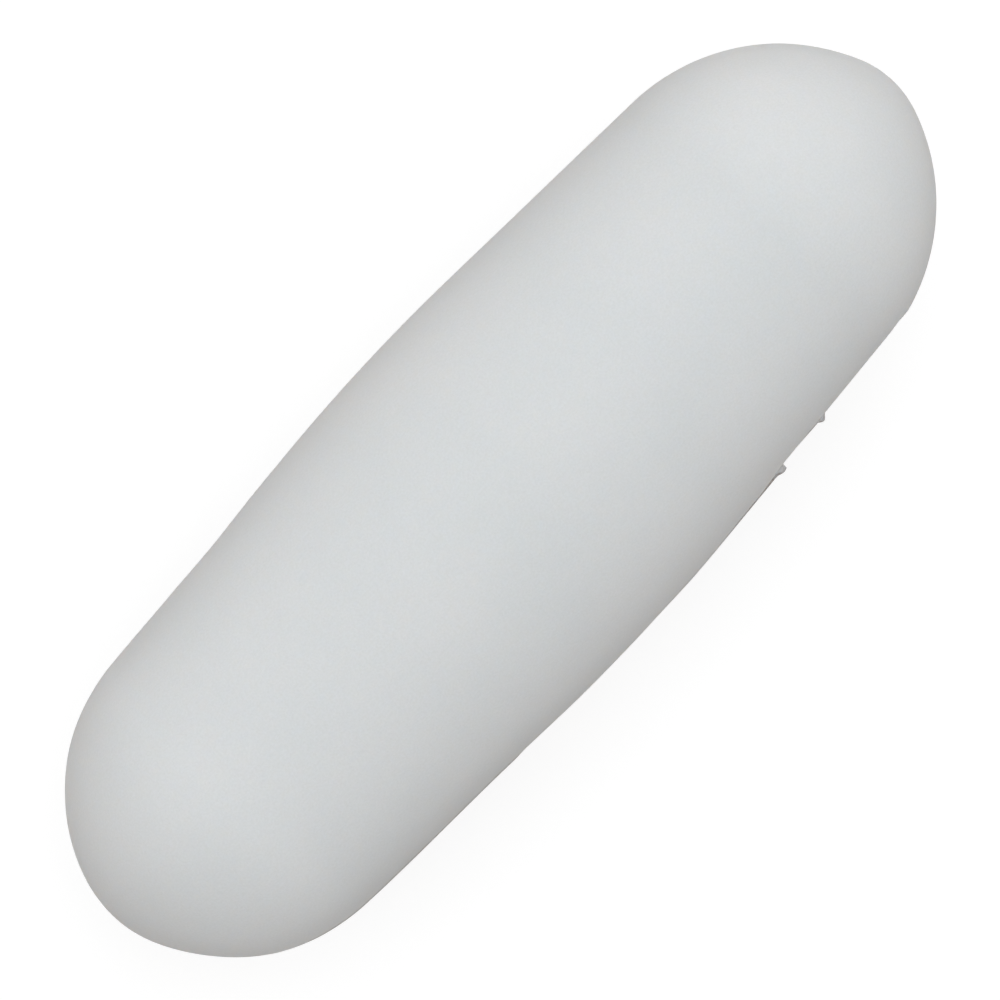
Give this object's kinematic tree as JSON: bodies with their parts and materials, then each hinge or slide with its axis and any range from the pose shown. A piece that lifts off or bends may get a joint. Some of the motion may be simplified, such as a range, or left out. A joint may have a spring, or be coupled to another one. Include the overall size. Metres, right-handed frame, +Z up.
{
  "type": "magnetic stir bar",
  "caption": "White PTFE-jacketed magnetic stir bar: a tapered round bar, thickest in the middle, with domed ends and a rod magnet sealed inside.",
  "frame": {"origin": "centre of the bar, on its long axis half way between the tips", "axes": "+X along the bar towards the end whose side carries the flash, -Y through the flash on the parting line, +Z up as the bar lies"},
  "size_m": [0.025, 0.0084, 0.0084],
  "materials": {
    "jacket": "satin, waxy, slightly translucent white PTFE as sintered",
    "magnet": "grey cast magnet alloy, ground on the ends"
  },
  "bodies": {
    "root": {"jacket": "jacket", "magnet": "magnet"}
  },
  "joints": []
}
